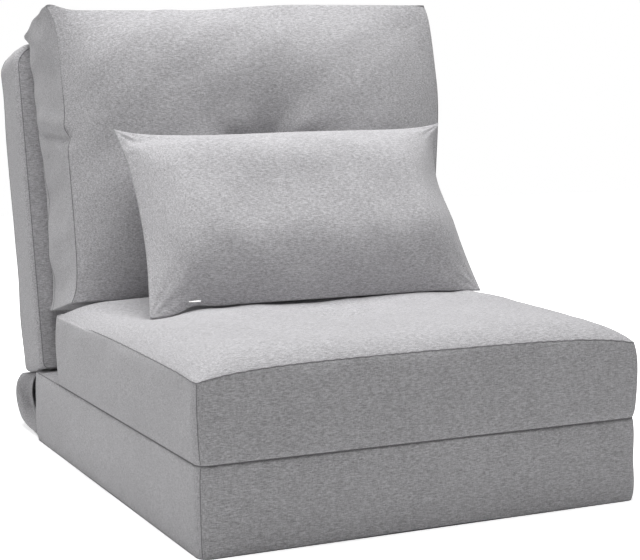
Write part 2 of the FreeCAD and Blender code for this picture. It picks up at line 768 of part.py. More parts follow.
def cushion_form(shrink):
    """A boxed cushion with ears: flat rear face, drawn-in boxing, crowned and tufted front."""
    deep = size("cushion_boxing")
    draw = size("cushion_draw")
    half_x = size("cushion_width") / 2 - shrink
    half_y = size("cushion_height") / 2 - shrink
    reach = 0.82 * half_y
    levels = [(shrink, 11, 0.5), (5 + shrink / 2, 0, 0.9), (deep * 0.3, draw * 0.5, 0.9),
              (deep * 0.7, draw * 0.5, 0.9), (deep - shrink, 0, 1.0)]
    pivot = Vector(-size("cushion_width") / 2, 0, 0)
    turn = -size("cushion_turn") / deep

    def turned(wire, depth):
        wire.rotate(pivot, Vector(0, 1, 0), turn * depth)
        return wire

    wires = []
    for depth, inset, bend in levels:
        ring = outline(depth, half_x - inset, half_y - inset, 10 + inset, -draw * bend, -draw * bend * 0.2, -2)
        wires.append(turned(ring, depth))
    for height, inset in crown_levels(deep - shrink, size("cushion_crown"), reach):
        share = inset / reach
        bend = draw * (1.3 * share - 1) if share < 0.7 else 2.0
        ring = outline(height, half_x - inset, half_y - inset, 12 + inset * 0.7, bend, bend * 0.2, 2)
        wires.append(turned(ring, deep))
    form = loft(wires)
    hollow = tuft(Vector(0, 0, 0), deep + size("cushion_crown"), size("cushion_tuft_depth"), shrink)
    return form.cut(turned(hollow, deep))


def make_cushion():
    wall = size("cover_wall")
    gap = size("soft_gap")
    turn = Rotation(Vector(1, 0, 0), Vector(0, 0, 1), Vector(0, -1, 0), "XYZ")
    spot = Vector(size("cushion_offset"), -gap, size("cushion_rise") + size("cushion_height") / 2)
    place = back_place.multiply(Placement(spot, turn))
    keep(add_shape("cushion_cover", cushion_form(0).cut(cushion_form(wall)), place))
    low = wall + 2 * gap
    high = size("cushion_boxing") + size("cushion_crown") - size("cushion_tuft_depth") - wall - gap
    fill = cushion_form(wall + gap)
    fill = fill.cut(Part.makeCylinder(size("tie_radius") + gap, 2 * high))
    room = size("washer_radius") + gap
    fill = fill.cut(Part.makeCylinder(room, size("washer_wall") + gap, Vector(0, 0, low - gap)))
    keep(add_shape("cushion_fill", fill, place))
    twine = Part.makeCylinder(size("tie_radius"), high - low, Vector(0, 0, low))
    washer = Part.makeCylinder(size("washer_radius"), size("washer_wall"), Vector(0, 0, low))
    keep(add_shape("cushion_tuft_tie", twine.fuse(washer).removeSplitter(), place))


# Lumbar pillow, drawn in its own frame: X across, Y up from its middle, Z from rear to front

zip_level = size("zip_rise") - size("pillow_height") / 2
PILLOW_STEPS = (0.05, 0.13, 0.24, 0.4, 0.62, 1.0)


def pillow_form(shrink):
    """A knife-edge pillow: a seam with pointed ears, swelling to both faces."""
    draw = size("pillow_draw")
    half_x = size("pillow_width") / 2 - shrink
    half_y = size("pillow_height") / 2 - shrink
    half_z = size("pillow_thickness") / 2 - shrink
    reach = half_y - draw - 14
    flat = size("zip_length") / 2 + 12

    def ring(depth, inset):
        share = inset / reach
        ears = 1 - share
        return outline(depth, half_x - inset, half_y - inset, 5 + 0.55 * inset, draw * (0.9 * share - 1),
                       draw * (0.9 * share - 1) * 0.6, 0, (flat - 0.62 * inset), size("zip_rise") * ears + 0.4)

    front = [ring(half_z * (1 - (1 - k) ** 2.2), reach * k) for k in PILLOW_STEPS]
    rear = [ring(-half_z * (1 - (1 - k) ** 2.2), reach * k) for k in reversed(PILLOW_STEPS)]
    seam = [ring(0, 0)]
    return loft(rear + seam).fuse(loft(seam + front))


def pillow_place():
    turn = Rotation(Vector(1, 0, 0), Vector(0, 0, 1), Vector(0, -1, 0), "XYZ")
    tilt = Rotation(Vector(1, 0, 0), -size("pillow_lean"))
    slider_drop = size("slider_wall") + size("soft_gap") + size("zip_chain_tall") + size("slider_wall")
    seam_z = seat_seam + size("seat_crown") + slider_drop + size("soft_gap")
    up = tilt.multVec(Vector(0, 0, 1))
    foot = Vector(size("pillow_offset"), base_front + size("pillow_front"), seam_z)
    middle = foot - up * zip_level
    return Placement(middle, tilt.multiply(turn))


def make_pillow():
    wall = size("cover_wall")
    gap = size("soft_gap")
    place = pillow_place()
    half = size("zip_length") / 2
    tape_half = size("zip_tape_wall") / 2
    slot = box(-half - gap, half + gap, zip_level - 2, zip_level + size("zip_tape_width") + gap,
               -tape_half - gap, tape_half + gap)
    keep(add_shape("pillow_cover", pillow_form(0).cut(pillow_form(wall)).cut(slot), place))
    keep(add_shape("pillow_fill", pillow_form(wall + gap).cut(slot), place))

    tape = new_body("pillow_zip_tape")
    sketch = sketch_on(tape, "tape_outline", "XY_Plane")
    low = "(Sizes.zip_rise - Sizes.pillow_height / 2)"
    half_zip = "Sizes.zip_length / 2"
    draw_rectangle(sketch, "-" + half_zip, half_zip, low, low + " + Sizes.zip_tape_width")
    pad(tape, sketch, "Sizes.zip_tape_wall").Midplane = True
    tape.Placement = place
    keep(tape)

    chain = new_body("pillow_zip_chain")
    sketch = sketch_on(chain, "chain_outline", "XY_Plane")
    draw_rectangle(sketch, "-" + half_zip, half_zip, low + " - Sizes.zip_chain_tall", low)
    pad(chain, sketch, "Sizes.zip_chain_wide").Midplane = True
    chain.Placement = place
    keep(chain)


def slider_middle():
    """Place of the slider's middle along the zip, at its closed left end."""
    return size("slider_length") / 2 + 2 - size("zip_length") / 2


def pull_pin():
    """The pin on the slider's front about which the pull swings."""
    return Vector(slider_middle(), 0, size("slider_wide") / 2 + size("pull_eye_radius") + size("soft_gap"))


def slider_low():
    return zip_level - size("zip_chain_tall") - size("soft_gap") - size("slider_wall")


def make_zip_slider():
    """A channel round the zip's chain, open above for the tape, with a pin for the pull."""
    gap = size("soft_gap")
    left = slider_middle() - size("slider_length") / 2
    right = left + size("slider_length")
    high = zip_level - gap
    low = slider_low()
    deep = size("slider_wide") / 2
    room = size("zip_chain_wide") / 2 + gap
    shell = box(left, right, low, high, -deep, deep)
    shell = shell.cut(box(left - 1, right + 1, low + size("slider_wall"), high + 1, -room, room))
    pin = pull_pin()
    lug = size("pull_eye_radius")
    for foot in (low, high - size("lug_wall")):
        shell = shell.fuse(
            box(pin.x - lug, pin.x + lug, foot, foot + size("lug_wall"), deep - 0.5, pin.z + lug)
        )
    rod = Part.makeCylinder(size("pull_pin_radius"), high - low, Vector(pin.x, low, pin.z), Vector(0, 1, 0))
    keep(add_shape("zip_slider", shell.fuse(rod).removeSplitter(), pillow_place()))


def make_zip_pull():
    """A flat tab with an eye round the slider's pin."""
    pin = pull_pin()
    low = slider_low() + size("lug_wall") + size("plate_gap") / 3
    high = zip_level - size("soft_gap") - size("lug_wall") - size("plate_gap") / 3
    half_wall = size("pull_wall") / 2
    down = Vector(0, 1, 0)
    eye = Part.makeCylinder(size("pull_eye_radius"), high - low, Vector(pin.x, low, pin.z), down)
    neck = box(pin.x, pin.x + 4, low, high, pin.z - half_wall, pin.z + half_wall)
    middle = (low + high) / 2
    half_wide = size("pull_wide") / 2
    tab = box(pin.x + 3, pin.x + size("pull_length"), middle - half_wide, middle + half_wide,
              pin.z - half_wall, pin.z + half_wall)
    pull = eye.fuse([neck, tab]).removeSplitter()
    bore_radius = size("pull_pin_radius") + size("rivet_gap")
    bore = Part.makeCylinder(bore_radius, high - low, Vector(pin.x, low, pin.z), down)
    keep(add_shape("zip_pull", pull.cut(bore), pillow_place()))


make_base()
make_hinge_plate(-1, "left_hinge_plate")
make_hinge_plate(1, "right_hinge_plate")
make_pivot_rivets()
make_rear_gusset()
make_seat()
make_back()
make_hinge_arm(-1, "left_hinge_arm")
make_hinge_arm(1, "right_hinge_arm")
make_cushion()
make_pillow()
make_zip_slider()
make_zip_pull()
doc.recompute()

# Checks and output

for obj in doc.Objects:
    if "Invalid" in obj.State or "Error" in obj.State:
        raise RuntimeError("%s failed: %s" % (obj.Label, obj.State))
for part in PARTS:
    if part.Shape.isNull() or not part.Shape.isValid():
        raise RuntimeError("%s has no valid shape" % part.Label)
os.makedirs("parts", exist_ok=True)
for part in PARTS:
    part.Shape.exportStep("parts/%s.step" % part.Label)
    print("%-20s %d solids %12.1f mm3" % (part.Label, len(part.Shape.Solids), part.Shape.Volume))
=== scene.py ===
import math

import bpy
import numpy as np
from mathutils import Matrix, Vector


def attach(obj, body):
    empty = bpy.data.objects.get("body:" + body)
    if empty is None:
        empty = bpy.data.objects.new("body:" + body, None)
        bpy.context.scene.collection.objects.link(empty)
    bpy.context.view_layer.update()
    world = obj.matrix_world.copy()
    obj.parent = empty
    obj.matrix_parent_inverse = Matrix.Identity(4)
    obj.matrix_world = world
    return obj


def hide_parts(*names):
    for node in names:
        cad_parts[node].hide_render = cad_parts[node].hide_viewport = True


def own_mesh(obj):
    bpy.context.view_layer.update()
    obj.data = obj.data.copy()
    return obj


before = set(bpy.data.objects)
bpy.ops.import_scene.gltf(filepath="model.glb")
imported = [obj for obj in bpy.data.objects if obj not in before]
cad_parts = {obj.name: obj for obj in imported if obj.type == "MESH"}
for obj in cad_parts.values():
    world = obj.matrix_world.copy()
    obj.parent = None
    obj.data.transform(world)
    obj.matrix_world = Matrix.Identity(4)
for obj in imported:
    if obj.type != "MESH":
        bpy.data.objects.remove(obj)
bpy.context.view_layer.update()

# Sizes in metres, as in the part's source

HALF_WIDTH = 0.330
BASE_DEPTH = 0.812
BASE_HEIGHT = 0.118
SEAT_DEPTH = 0.665
SEAT_LOW = 0.1193
SEAT_SEAM = 0.2373
LEAN = math.radians(12)
BACK_FOOT = (0.3685, 0.1269)
BACK_LENGTH = 0.558
BACK_DEEP = 0.118
CUSHION_HALF = 0.342
CUSHION_TALL = 0.246
CUSHION_DEEP = 0.168
CUSHION_CROWN = 0.042
CUSHION_TURN = math.radians(2.5)
CUSHION_X = 0.031
CUSHION_RISE = 0.0944
PILLOW_HALF = 0.288
PILLOW_TALL = 0.167
PILLOW_SWELL = 0.056
PILLOW_LEAN = math.radians(35)
PILLOW_ZIP = (0.041, 0.0196, 0.2703)
ZIP_FROM_EDGE = 0.009

# Radius of the dark seam lines, which are thread and painted shade of each seam's groove
SEAM_LINE_RADIUS = 0.0006

DENSE = 2


# Formulas that the soft shapes share


def ease(t, share):
    """Grid lines crowded towards both ends."""
    return (1 - share) * t + share * np.sin(np.pi * t / 2)


def ripple(points, wave, seed, count=7):
    """Smooth uneven waves of about that length, between about -1 and 1."""
    rng = np.random.RandomState(seed)
    total = np.zeros(len(points))
    for _ in range(count):
        way = rng.normal(size=3)
        way /= np.linalg.norm(way)
        length = wave * rng.uniform(0.7, 1.5)
        total += np.sin(points @ way * (2 * math.pi / length) + rng.uniform(0, 2 * math.pi))
    return total / math.sqrt(count)


def bump(value, centre, width):
    """A smooth hump, 1 at its centre."""
    return np.exp(-(((value - centre) / width) ** 2))


def smooth_step(value, low, high):
    """0 below low, 1 above high and smooth between them."""
    t = np.clip((value - low) / (high - low), 0, 1)
    return t * t * (3 - 2 * t)


def near(distance, reach):
    """1 at an edge, falling off with the distance from it."""
    return np.exp(-distance / reach)


def full_edge(distance, reach):
    """0 at an edge, rising to 1 soon behind it."""
    return 1 - near(distance, reach)


def swell(distance, reach, power=2.4):
    """0 at an edge, rising to 1 over all of the reach."""
    return 1 - np.power(1 - np.clip(distance / reach, 0, 1), power)


def belly(level, power):
    """The swelling of a side between its two seams, 1 in the middle."""
    return np.power(np.clip(1 - level * level, 0, 1), power)


def quarter_round(t):
    """How far a rounded edge draws in, from 0 where it starts to 1 at its end."""
    return 1 - np.sqrt(np.clip(1 - t ** 2, 0, 1))


def on_face(level):
    """1 for the points on the face at the upper end of a running number, else 0."""
    return (level > 0.9999).astype(float)


def round_corner(x, y, half_x, half_y, radius):
    """Rounds the corners of a rectangle."""
    over_x = np.maximum(np.abs(x) - (half_x - radius), 0)
    over_y = np.maximum(np.abs(y) - (half_y - radius), 0)
    longest = np.maximum(over_x, over_y)
    reach = np.hypot(over_x, over_y)
    scale = np.where(reach > 1e-9, longest / np.maximum(reach, 1e-9), 1)
    new_x = np.where(over_x > 0, np.sign(x) * (half_x - radius + over_x * scale), x)
    new_y = np.where(over_y > 0, np.sign(y) * (half_y - radius + over_y * scale), y)
    return new_x, new_y


# Meshes


def box_grid(nu, nv, nw, share=0.45):
    """Points of a box's surface in three running numbers from -1 to 1, and its faces."""
    counts = (nu, nv, nw)
    ticks = [ease(np.linspace(-1, 1, n + 1), share) for n in counts]
    index = {}
    points = []

    def point(i, j, k):
        key = (i, j, k)
        if key not in index:
            index[key] = len(points)
            points.append((ticks[0][i], ticks[1][j], ticks[2][k]))
        return index[key]

    faces = []
    for axis in range(3):
        a, b = [n for n in range(3) if n != axis]
        for end in (0, counts[axis]):
            for i in range(counts[a]):
                for j in range(counts[b]):
                    corners = []
                    for di, dj in ((0, 0), (1, 0), (1, 1), (0, 1)):
                        spot = [0, 0, 0]
                        spot[axis] = end
                        spot[a] = i + di
                        spot[b] = j + dj
                        corners.append(point(*spot))
                    if (end == 0) != (axis == 1):
                        corners.reverse()
                    faces.append(corners)
    return np.array(points), faces


def make_mesh(name, points, faces, smooth=True):
    mesh = bpy.data.meshes.new(name)
    mesh.from_pydata([tuple(p) for p in points], [], [list(f) for f in faces])
    mesh.validate()
    mesh.update()
    if smooth:
        mesh.polygons.foreach_set("use_smooth", [True] * len(mesh.polygons))
    obj = bpy.data.objects.new(name, mesh)
    bpy.context.scene.collection.objects.link(obj)
    return obj


def tube(name, path, radius, closed=True, sides=6):
    """A thin round line along points, for a seam's dark line: thread, and painted shade of the seam's
    groove. Its radius may change on the way.
    """
    path = np.array(path)
    count = len(path)
    if closed:
        ahead = np.roll(path, -1, 0) - np.roll(path, 1, 0)
    else:
        ahead = np.gradient(path, axis=0)
    ahead /= np.maximum(np.linalg.norm(ahead, axis=1, keepdims=True), 1e-9)
    helper = np.where(np.abs(ahead[:, 2:3]) > 0.9, [[1.0, 0, 0]], [[0, 0, 1.0]])
    side = np.cross(ahead, helper)
    side /= np.maximum(np.linalg.norm(side, axis=1, keepdims=True), 1e-9)
    other = np.cross(side, ahead)
    radius = np.broadcast_to(radius, count)[:, None]
    points = []
    for k in range(sides):
        angle = 2 * math.pi * k / sides
        points.append(path + radius * (math.cos(angle) * side + math.sin(angle) * other))
    points = np.stack(points, 1).reshape(-1, 3)
    faces = []
    rows = count if closed else count - 1
    for i in range(rows):
        j = (i + 1) % count
        for k in range(sides):
            m = (k + 1) % sides
            faces.append((i * sides + k, i * sides + m, j * sides + m, j * sides + k))
    if not closed:
        faces.append(tuple(range(sides - 1, -1, -1)))
        faces.append(tuple((count - 1) * sides + k for k in range(sides)))
    return make_mesh(name, points, faces)


def once_round(count):
    """Two running numbers that go once round a square, with that many steps to a side."""
    steps = np.linspace(-1, 1, count)
    ones = np.ones(count)
    sides = ((steps, -ones), (ones, steps), (-steps, ones), (-ones, -steps))
    return [np.concatenate([side[k][:-1] for side in sides]) for k in range(2)]


def seam_loop(shape, level, count=120):
    """Points round a soft piece's seam, at that level of its third running number."""
    u, v = once_round(count)
    return shape(np.stack([u, v, np.full(len(u), level)], 1))


# Materials


def new_material(name):
    material = bpy.data.materials.new(name)
    material.use_nodes = True
    nodes = material.node_tree.nodes
    shader = [n for n in nodes if n.type == "BSDF_PRINCIPLED"][0]
    return material, nodes, material.node_tree.links, shader


def set_number(shader, **values):
    for name, value in values.items():
        shader.inputs[name.replace("_", " ")].default_value = value


def noise(nodes, links, vector, scale, stretch=(1, 1, 1), detail=2.0, rough=0.5):
    mapping = nodes.new("ShaderNodeMapping")
    mapping.inputs["Scale"].default_value = stretch
    links.new(vector, mapping.inputs["Vector"])
    texture = nodes.new("ShaderNodeTexNoise")
    texture.inputs["Scale"].default_value = scale
    texture.inputs["Detail"].default_value = detail
    texture.inputs["Roughness"].default_value = rough
    links.new(mapping.outputs["Vector"], texture.inputs["Vector"])
    return texture.outputs["Fac"]


def math_node(nodes, links, kind, a, b):
    node = nodes.new("ShaderNodeMath")
    node.operation = kind
    for socket, value in zip(node.inputs, (a, b)):
        if isinstance(value, (int, float)):
            socket.default_value = value
        else:
            links.new(value, socket)
    return node.outputs["Value"]


def two_shades(nodes, links, value, dark, light):
    """A colour that runs between two, each given with the value at which it is reached."""
    ramp = nodes.new("ShaderNodeValToRGB")
    for element, (position, colour) in zip(ramp.color_ramp.elements, (dark, light)):
        element.position = position
        element.color = (*colour, 1)
    links.new(value, ramp.inputs["Fac"])
    return ramp.outputs["Color"]


def spread(nodes, links, value, low, high):
    """Stretches a value between 0 and 1 over the range from low to high."""
    node = nodes.new("ShaderNodeMapRange")
    node.inputs["To Min"].default_value = low
    node.inputs["To Max"].default_value = high
    links.new(value, node.inputs["Value"])
    return node.outputs["Result"]


def relief(nodes, links, height, strength, distance):
    """A fine unevenness of the surface."""
    node = nodes.new("ShaderNodeBump")
    node.inputs["Strength"].default_value = strength
    node.inputs["Distance"].default_value = distance
    links.new(height, node.inputs["Height"])
    return node.outputs["Normal"]


CLOTH_DARK = (0.345, 0.338, 0.352)
CLOTH_LIGHT = (0.73, 0.722, 0.742)


def cloth_material(name, lean=0.0):
    """Heathered weave: slubs across, along and deep, specks and a slow change of shade.

    Its threads lean with the piece that it covers.
    """
    material, nodes, links, shader = new_material(name)
    turn = nodes.new("ShaderNodeMapping")
    turn.inputs["Rotation"].default_value = (lean, 0, 0)
    links.new(nodes.new("ShaderNodeTexCoord").outputs["Object"], turn.inputs["Vector"])
    vector = turn.outputs["Vector"]
    across = noise(nodes, links, vector, 1.0, (150, 800, 800), 3.0, 0.6)
    along = noise(nodes, links, vector, 1.0, (760, 760, 170), 3.0, 0.6)
    deep = noise(nodes, links, vector, 1.0, (760, 170, 760), 3.0, 0.6)
    speck = noise(nodes, links, vector, 900.0, detail=1.0)
    slow = noise(nodes, links, vector, 9.0)
    across_weight = 1.7
    others = ((along, 0.7), (deep, 0.7), (speck, 0.5), (slow, 0.12))
    total = math_node(nodes, links, "MULTIPLY", across, across_weight)
    for part, weight in others:
        weighted = math_node(nodes, links, "MULTIPLY", part, weight)
        total = math_node(nodes, links, "ADD", total, weighted)
    whole = across_weight + sum(weight for _, weight in others)
    mean = math_node(nodes, links, "DIVIDE", total, whole)
    colour = two_shades(nodes, links, mean, (0.405, CLOTH_DARK), (0.595, CLOTH_LIGHT))
    links.new(colour, shader.inputs["Base Color"])
    links.new(relief(nodes, links, total, 0.45, 0.0006), shader.inputs["Normal"])
    links.new(spread(nodes, links, speck, 0.82, 0.98), shader.inputs["Roughness"])
    set_number(shader, Sheen_Weight=0.18, Sheen_Roughness=0.55, Specular_IOR_Level=0.22)
    return material


def grained_material(
    name, colour, change, scale, roughness, metallic=0.0, grain_height=0.0002, stretch=(1, 1, 1)
):
    """Plain finish with a slight change of shade and a fine grain."""
    material, nodes, links, shader = new_material(name)
    coords = nodes.new("ShaderNodeTexCoord").outputs["Object"]
    grain = noise(nodes, links, coords, scale, stretch, 4.0, 0.6)
    dark = [c * (1 - change) for c in colour]
    light = [min(1, c * (1 + change)) for c in colour]
    shade = two_shades(nodes, links, grain, (0.3, dark), (0.7, light))
    links.new(shade, shader.inputs["Base Color"])
    rough = spread(nodes, links, grain, roughness * 0.85, min(1.0, roughness * 1.15))
    links.new(rough, shader.inputs["Roughness"])
    links.new(relief(nodes, links, grain, 0.3, grain_height), shader.inputs["Normal"])
    set_number(shader, Metallic=metallic)
    return material


cloth = cloth_material("woven_cloth")
cloth_leaning = cloth_material("woven_cloth_leaning", LEAN)
cloth_pillow = cloth_material("woven_cloth_pillow", PILLOW_LEAN)
# Dark seam lines: thread, and painted shade of the seam's groove
thread_and_groove_shade = grained_material("seam_thread_and_groove_shade", (0.25, 0.245, 0.255), 0.25, 900, 0.95)
steel = grained_material("powder_coat", (0.05, 0.05, 0.055), 0.3, 400, 0.5)
zinc = grained_material("zinc_plate", (0.62, 0.62, 0.60), 0.15, 220, 0.42, 1.0, 0.0001, (1, 1, 8))
lining_cloth = grained_material("lining_cloth", (0.09, 0.09, 0.095), 0.4, 500, 0.95)
webbing = grained_material("webbing", (0.12, 0.12, 0.13), 0.4, 300, 0.9, 0.0, 0.0004, (1, 6, 6))
twine = grained_material("twine", (0.72, 0.70, 0.64), 0.2, 900, 0.9)
tape_cloth = grained_material("zip_tape_cloth", (0.45, 0.445, 0.46), 0.2, 900, 0.9)
nylon = grained_material("nylon_coil", (0.42, 0.42, 0.43), 0.2, 500, 0.5)
zip_paint = grained_material("zip_paint", (0.80, 0.79, 0.78), 0.08, 300, 0.35, 0.6)


def finish_piece(obj, body, material, nodes=()):
    """Gives a soft piece its cloth, its body and what it takes the place of."""
    obj.data.materials.clear()
    obj.data.materials.append(material)
    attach(obj, body)
    if nodes:
        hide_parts(*nodes)


# Box mattresses: base and seat
# Their running numbers go from side to side, from front to rear and from seam to seam.

BASE_CLOTH = {
    "corner": 0.016,
    "bulge": 0.0050,
    "arch": 0.0,
    "crown": 0.0,
    "reach": 0.03,
    "soft": 0.0010,
    "seed": 31,
}
SEAT_CLOTH = {
    "corner": 0.016,
    "bulge": 0.0055,
    "arch": 0.006,
    "crown": 0.0235,
    "reach": 0.027,
    "soft": 0.0011,
    "seed": 11,
}
BULGE_REACH = 0.012
SKIN_REACH = 0.004
PUCKER_PITCH = 0.017
PUCKER_HEIGHT = 0.0005
SEAT_TUFT = (0.022, -0.078)


def mattress_shape(params, middle_y, half_y, low, high, form):
    """A box with swelling sides, rounded upright corners, a crowned top and puckered seams."""
    u, v, w = params.T
    x, y = round_corner(HALF_WIDTH * u, half_y * v, HALF_WIDTH, half_y, form["corner"])
    to_side = HALF_WIDTH - np.abs(HALF_WIDTH * u)
    to_end = half_y - np.abs(half_y * v)
    bulge = form["bulge"] * belly(w, 0.62)
    flank = near(to_side, BULGE_REACH) * (1 - 0.45 * v ** 4)
    ends = near(to_end, BULGE_REACH) * (1 - 0.45 * u ** 4)
    x = x + np.sign(u) * bulge * flank
    y = y + np.sign(v) * bulge * ends

    share = (w + 1) / 2
    z = (high + low) / 2 + (high - low) / 2 * w
    z = z + form["arch"] * (1 - u ** 4) * np.abs(v) ** 3 * share
    top = on_face(w)
    crown = form["crown"] * full_edge(to_side, form["reach"]) * full_edge(to_end, form["reach"])
    z = z + top * crown

    flat = np.stack([x, y + middle_y, z], 1)
    soft = form["soft"] * ripple(flat, 0.16, form["seed"])
    soft = soft + 0.4 * form["soft"] * ripple(flat, 0.06, form["seed"] + 1)
    to_seam = np.minimum(to_side, to_end)
    between = smooth_step(1 - np.abs(w), 0.0, 0.25)
    x = x + np.sign(u) * near(to_side, SKIN_REACH) * soft * between
    y = y + np.sign(v) * near(to_end, SKIN_REACH) * soft * between
    z = z + top * soft * smooth_step(to_seam, 0.0, 0.04)
    uneven = 2 * ripple(flat, 0.07, form["seed"] + 2)
    pucker = np.sin((x + y) * 2 * math.pi / PUCKER_PITCH + uneven)
    z = z + top * PUCKER_HEIGHT * pucker * near(to_seam, BULGE_REACH)
    return np.stack([x, y + middle_y, z], 1)


def sink_front(points, params, top):
    """The top seam sinks towards the front corners, which stand out a little."""
    share = (params[:, 2] + 1) / 2
    to_side = HALF_WIDTH - np.abs(HALF_WIDTH * params[:, 0])
    to_front = SEAT_DEPTH / 2 * (1 + params[:, 1])
    corner = near(np.hypot(to_side, to_front), 0.11)
    along_side = near(to_side, 0.05) * smooth_step(-points[:, 1], -0.1, 0.35)
    drop = 0.0028 + 0.0028 * corner + 0.004 * along_side
    rounding = full_edge(np.minimum(to_side, to_front), 0.022)
    points[:, 2] -= drop * share * (1 - top * rounding)
    reach_out = np.where(params[:, 0] < 0, 0.0050, 0.0012)
    out = reach_out * corner * share * (1 - top * rounding)
    points[:, 0] += np.sign(params[:, 0]) * out
    points[:, 1] -= out


def sew_seat_tuft(points, top):
    """A dent with folds round it and a sewn crescent at its front."""
    x = points[:, 0] - SEAT_TUFT[0]
    y = points[:, 1] - SEAT_TUFT[1]
    away = np.hypot(x, y)
    angle = np.arctan2(y, x)
    dent = 0.017 * np.exp(-((away / 0.045) ** 1.4)) + 0.004 * bump(away, 0, 0.14)
    folds = 0.0018 * np.sin(angle * 7 + 1.3) * bump(away, 0.035, 0.022)
    ring = bump(np.hypot(x, y - 0.012), 0.028, 0.0075)
    crescent = 0.013 * ring * smooth_step(-y, -0.012, 0.01)
    points[:, 2] -= top * (dent + folds + crescent)


def press_seat_top(points, top):
    """What draws the seat's top down or fills it out."""
    # The corner seams at the front draw it down a little.
    for side in (-1, 1):
        to_corner = np.hypot(points[:, 0] - side * HALF_WIDTH, points[:, 1] + BASE_DEPTH / 2)
        points[:, 2] -= 0.003 * near(to_corner, 0.03) * (points[:, 2] > SEAT_LOW + 0.09)
    # The pillow's left lower ear presses in.
    ear = np.hypot(points[:, 0] + 0.245, (points[:, 1] - 0.03) * 0.8)
    points[:, 2] -= top * 0.012 * bump(ear, 0, 0.055)
    # The right rear stays fuller than the left.
    to_right = np.maximum(HALF_WIDTH - points[:, 0], 0)
    fuller = smooth_step(points[:, 0], 0.262, 0.322) * full_edge(to_right, 0.012)
    points[:, 2] += top * 0.0115 * fuller * smooth_step(points[:, 1], -0.35, -0.05)
    rear_left = smooth_step(-points[:, 0], 0.1, 0.3) * smooth_step(points[:, 1], 0.02, 0.12)
    points[:, 2] -= top * 0.005 * rear_left


def seat_shape(params):
    middle_y = (SEAT_DEPTH - BASE_DEPTH) / 2
    points = mattress_shape(params, middle_y, SEAT_DEPTH / 2, SEAT_LOW, SEAT_SEAM, SEAT_CLOTH)
    top = on_face(params[:, 2])
    sink_front(points, params, top)
    sew_seat_tuft(points, top)
    press_seat_top(points, top)
    return points


def base_shape(params):
    points = mattress_shape(params, 0.0, BASE_DEPTH / 2, 0.0, BASE_HEIGHT, BASE_CLOTH)
    # Behind the seat the top is free and puffs up.
    y = points[:, 1]
    free = smooth_step(y, 0.262, 0.285) * smooth_step(0.405 - y, 0.0, 0.05)
    points[:, 2] += on_face(params[:, 2]) * 0.004 * free * (1 - (points[:, 0] / HALF_WIDTH) ** 8)
    return points


def mattress_seams(name, shape, body):
    """Dark lines along the upper and lower seam and down the four corners: thread, and painted shade
    of the seam's groove.
    """
    for level, tag in ((1, "high"), (-1, "low")):
        line = tube("%s_seam_%s" % (name, tag), seam_loop(shape, level), SEAM_LINE_RADIUS)
        finish_piece(line, body, thread_and_groove_shade)
    steps = np.linspace(-0.97, 0.97, 60)
    for k, (u, v) in enumerate(((-1, -1), (1, -1), (1, 1), (-1, 1))):
        line = shape(np.stack([np.full(60, u), np.full(60, v), steps], 1))
        post = tube("%s_corner_seam_%d" % (name, k), line, SEAM_LINE_RADIUS * 0.8, closed=False)
        finish_piece(post, body, thread_and_groove_shade)


params, faces = box_grid(60 * DENSE, 72 * DENSE, 12 * DENSE)
base = make_mesh("base_mattress", base_shape(params), faces)
finish_piece(base, "base", cloth, ("base_cover", "base_foam"))
mattress_seams("base", base_shape, "base")

params, faces = box_grid(64 * DENSE, 64 * DENSE, 12 * DENSE)
seat = make_mesh("seat_mattress", seat_shape(params), faces)
finish_piece(seat, "seat", cloth, ("seat_cover", "seat_foam"))
mattress_seams("seat", seat_shape, "seat")


# Backrest
# Its running numbers go from side to side, from its front face to its rear and up its height.

BACK_REAR_ROUND = 0.026
BACK_FRONT_ROUND = 0.007
BACK_LOW_CORNER = 0.010
BACK_HIGH_CORNER = 0.036


def back_world(x, deep, rise):
    """From the backrest's own frame: deep from its front face to its rear, rise up its height."""
    y = BACK_FOOT[0] + rise * math.sin(LEAN) + deep * math.cos(LEAN)
    z = BACK_FOOT[1] + rise * math.cos(LEAN) - deep * math.sin(LEAN)
    return np.stack([x, y, z], 1)


def back_shape(params):
    u, v, w = params.T
    half_z = BACK_LENGTH / 2
    half_d = BACK_DEEP / 2
    to_side = HALF_WIDTH - np.abs(HALF_WIDTH * u)
    # The upper corners are rounder than the lower ones.
    rounder = (BACK_HIGH_CORNER - BACK_LOW_CORNER) * smooth_step(w, 0.0, 0.3)
    x, s = round_corner(HALF_WIDTH * u, half_z * w, HALF_WIDTH, half_z, BACK_LOW_CORNER + rounder)
    d = half_d * v
    # The outline draws in round the rear edge and a little round the front edge.
    rear = np.clip((d - (half_d - BACK_REAR_ROUND)) / BACK_REAR_ROUND, 0, 1)
    front = np.clip((-d - (half_d - BACK_FRONT_ROUND)) / BACK_FRONT_ROUND, 0, 1)
    draw = BACK_REAR_ROUND * quarter_round(rear) + BACK_FRONT_ROUND * quarter_round(front)
    x = x - np.sign(u) * draw * np.abs(u)
    s = s - np.sign(w) * draw * np.abs(w) * (w > 0)
    bulge = 0.0025 * belly(v, 0.7)
    x = x + np.sign(u) * bulge * near(to_side, 0.01)
    s = s + bulge * near(half_z - half_z * w, 0.01)
    # The rear face swells a little.
    inner = full_edge(to_side, 0.05) * full_edge(half_z - np.abs(half_z * w), 0.05)
    rear_face = on_face(v)
    d = d + 0.006 * inner * rear_face
    flat = np.stack([x, d, s], 1)
    soft = 0.0011 * ripple(flat, 0.17, 51) + 0.0005 * ripple(flat, 0.07, 52)
    s = s + 0.005 * np.clip(w, 0, 1)
    side = near(to_side, SKIN_REACH) * smooth_step(1 - np.abs(v), 0, 0.3)
    x = x + np.sign(u) * side * soft
    d = d + rear_face * soft * inner
    return back_world(x, d + half_d, s + half_z)


def back_loop(level):
    """Points round the backrest's outline, at that level between its front and its rear."""
    w, u = once_round(140)
    return back_shape(np.stack([u, np.full(len(u), level), w], 1))


